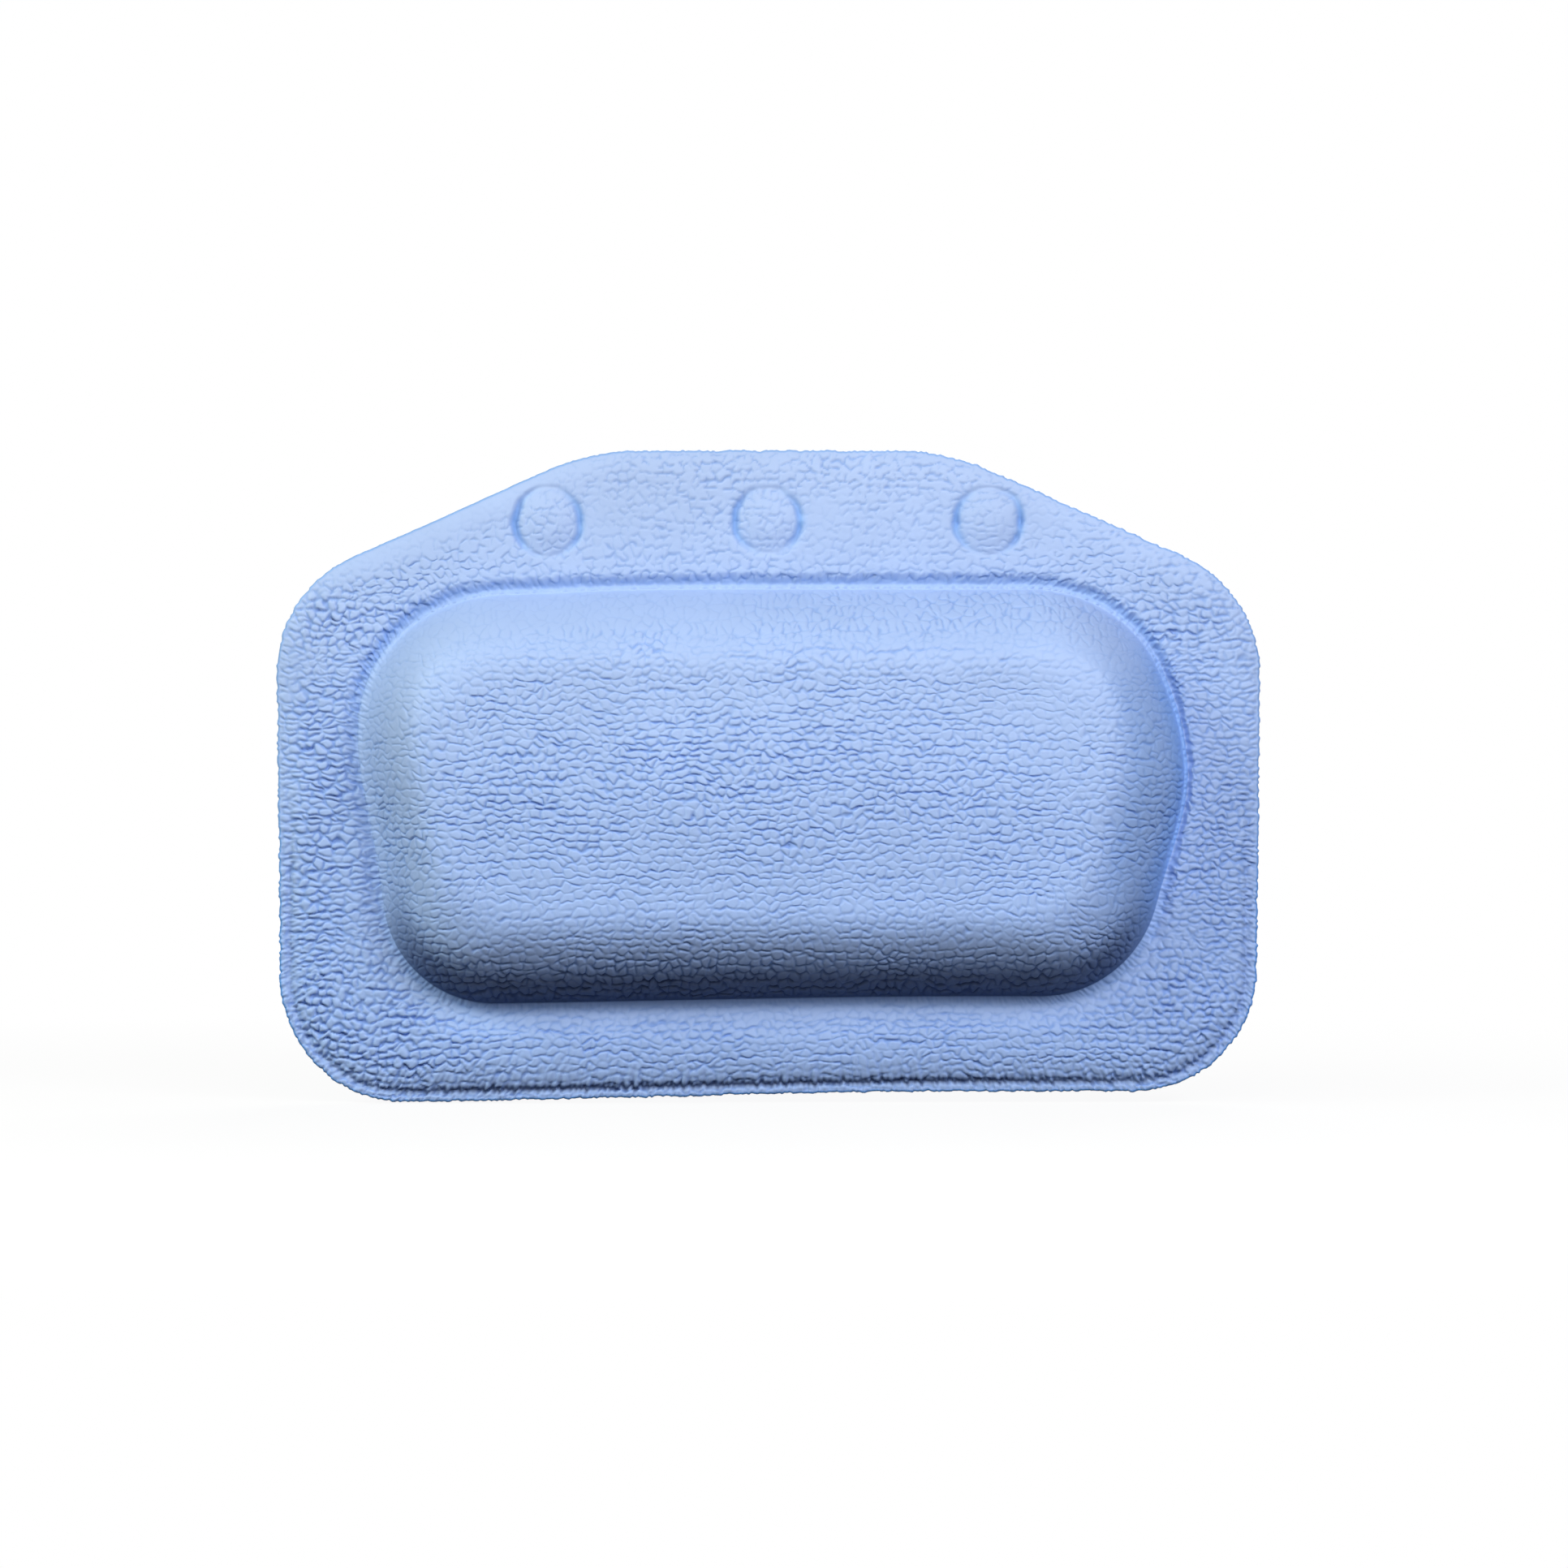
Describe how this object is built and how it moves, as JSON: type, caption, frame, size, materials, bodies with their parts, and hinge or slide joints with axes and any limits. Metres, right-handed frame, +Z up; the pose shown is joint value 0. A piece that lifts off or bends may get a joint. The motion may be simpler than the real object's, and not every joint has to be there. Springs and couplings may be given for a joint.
{
  "type": "bath pillow",
  "caption": "Foam bath headrest: a grained, padded vinyl front welded to a flat back, held to the bath wall by suction cups.",
  "frame": {"origin": "centre of the middle suction cup's contact face, on the plane of the bath wall", "axes": "+Z up the pillow, +X to the right as the bather faces the pad, +Y into the wall, so the pad faces -Y"},
  "size_m": [0.3194, 0.0455, 0.21],
  "materials": {
    "front_vinyl": "satin",
    "back_vinyl": "matte",
    "foam": "matte",
    "clear_vinyl": "gloss"
  },
  "bodies": {
    "pillow": {"front_cover": "front_vinyl", "back_cover": "back_vinyl", "foam_core": "foam"},
    "cup_left": {"suction_cup_left": "clear_vinyl"},
    "cup_centre": {"suction_cup_centre": "clear_vinyl"},
    "cup_right": {"suction_cup_right": "clear_vinyl"}
  },
  "joints": [
    {"name": "cup_left_swivel", "type": "hinge", "parent": "pillow", "child": "cup_left", "pos_m": [-0.0715, 0, 0], "axis": [0, 1, 0], "continuous": true},
    {"name": "cup_centre_swivel", "type": "hinge", "parent": "pillow", "child": "cup_centre", "pos_m": [0, 0, 0], "axis": [0, 1, 0], "continuous": true},
    {"name": "cup_right_swivel", "type": "hinge", "parent": "pillow", "child": "cup_right", "pos_m": [0.0715, 0, 0], "axis": [0, 1, 0], "continuous": true}
  ]
}
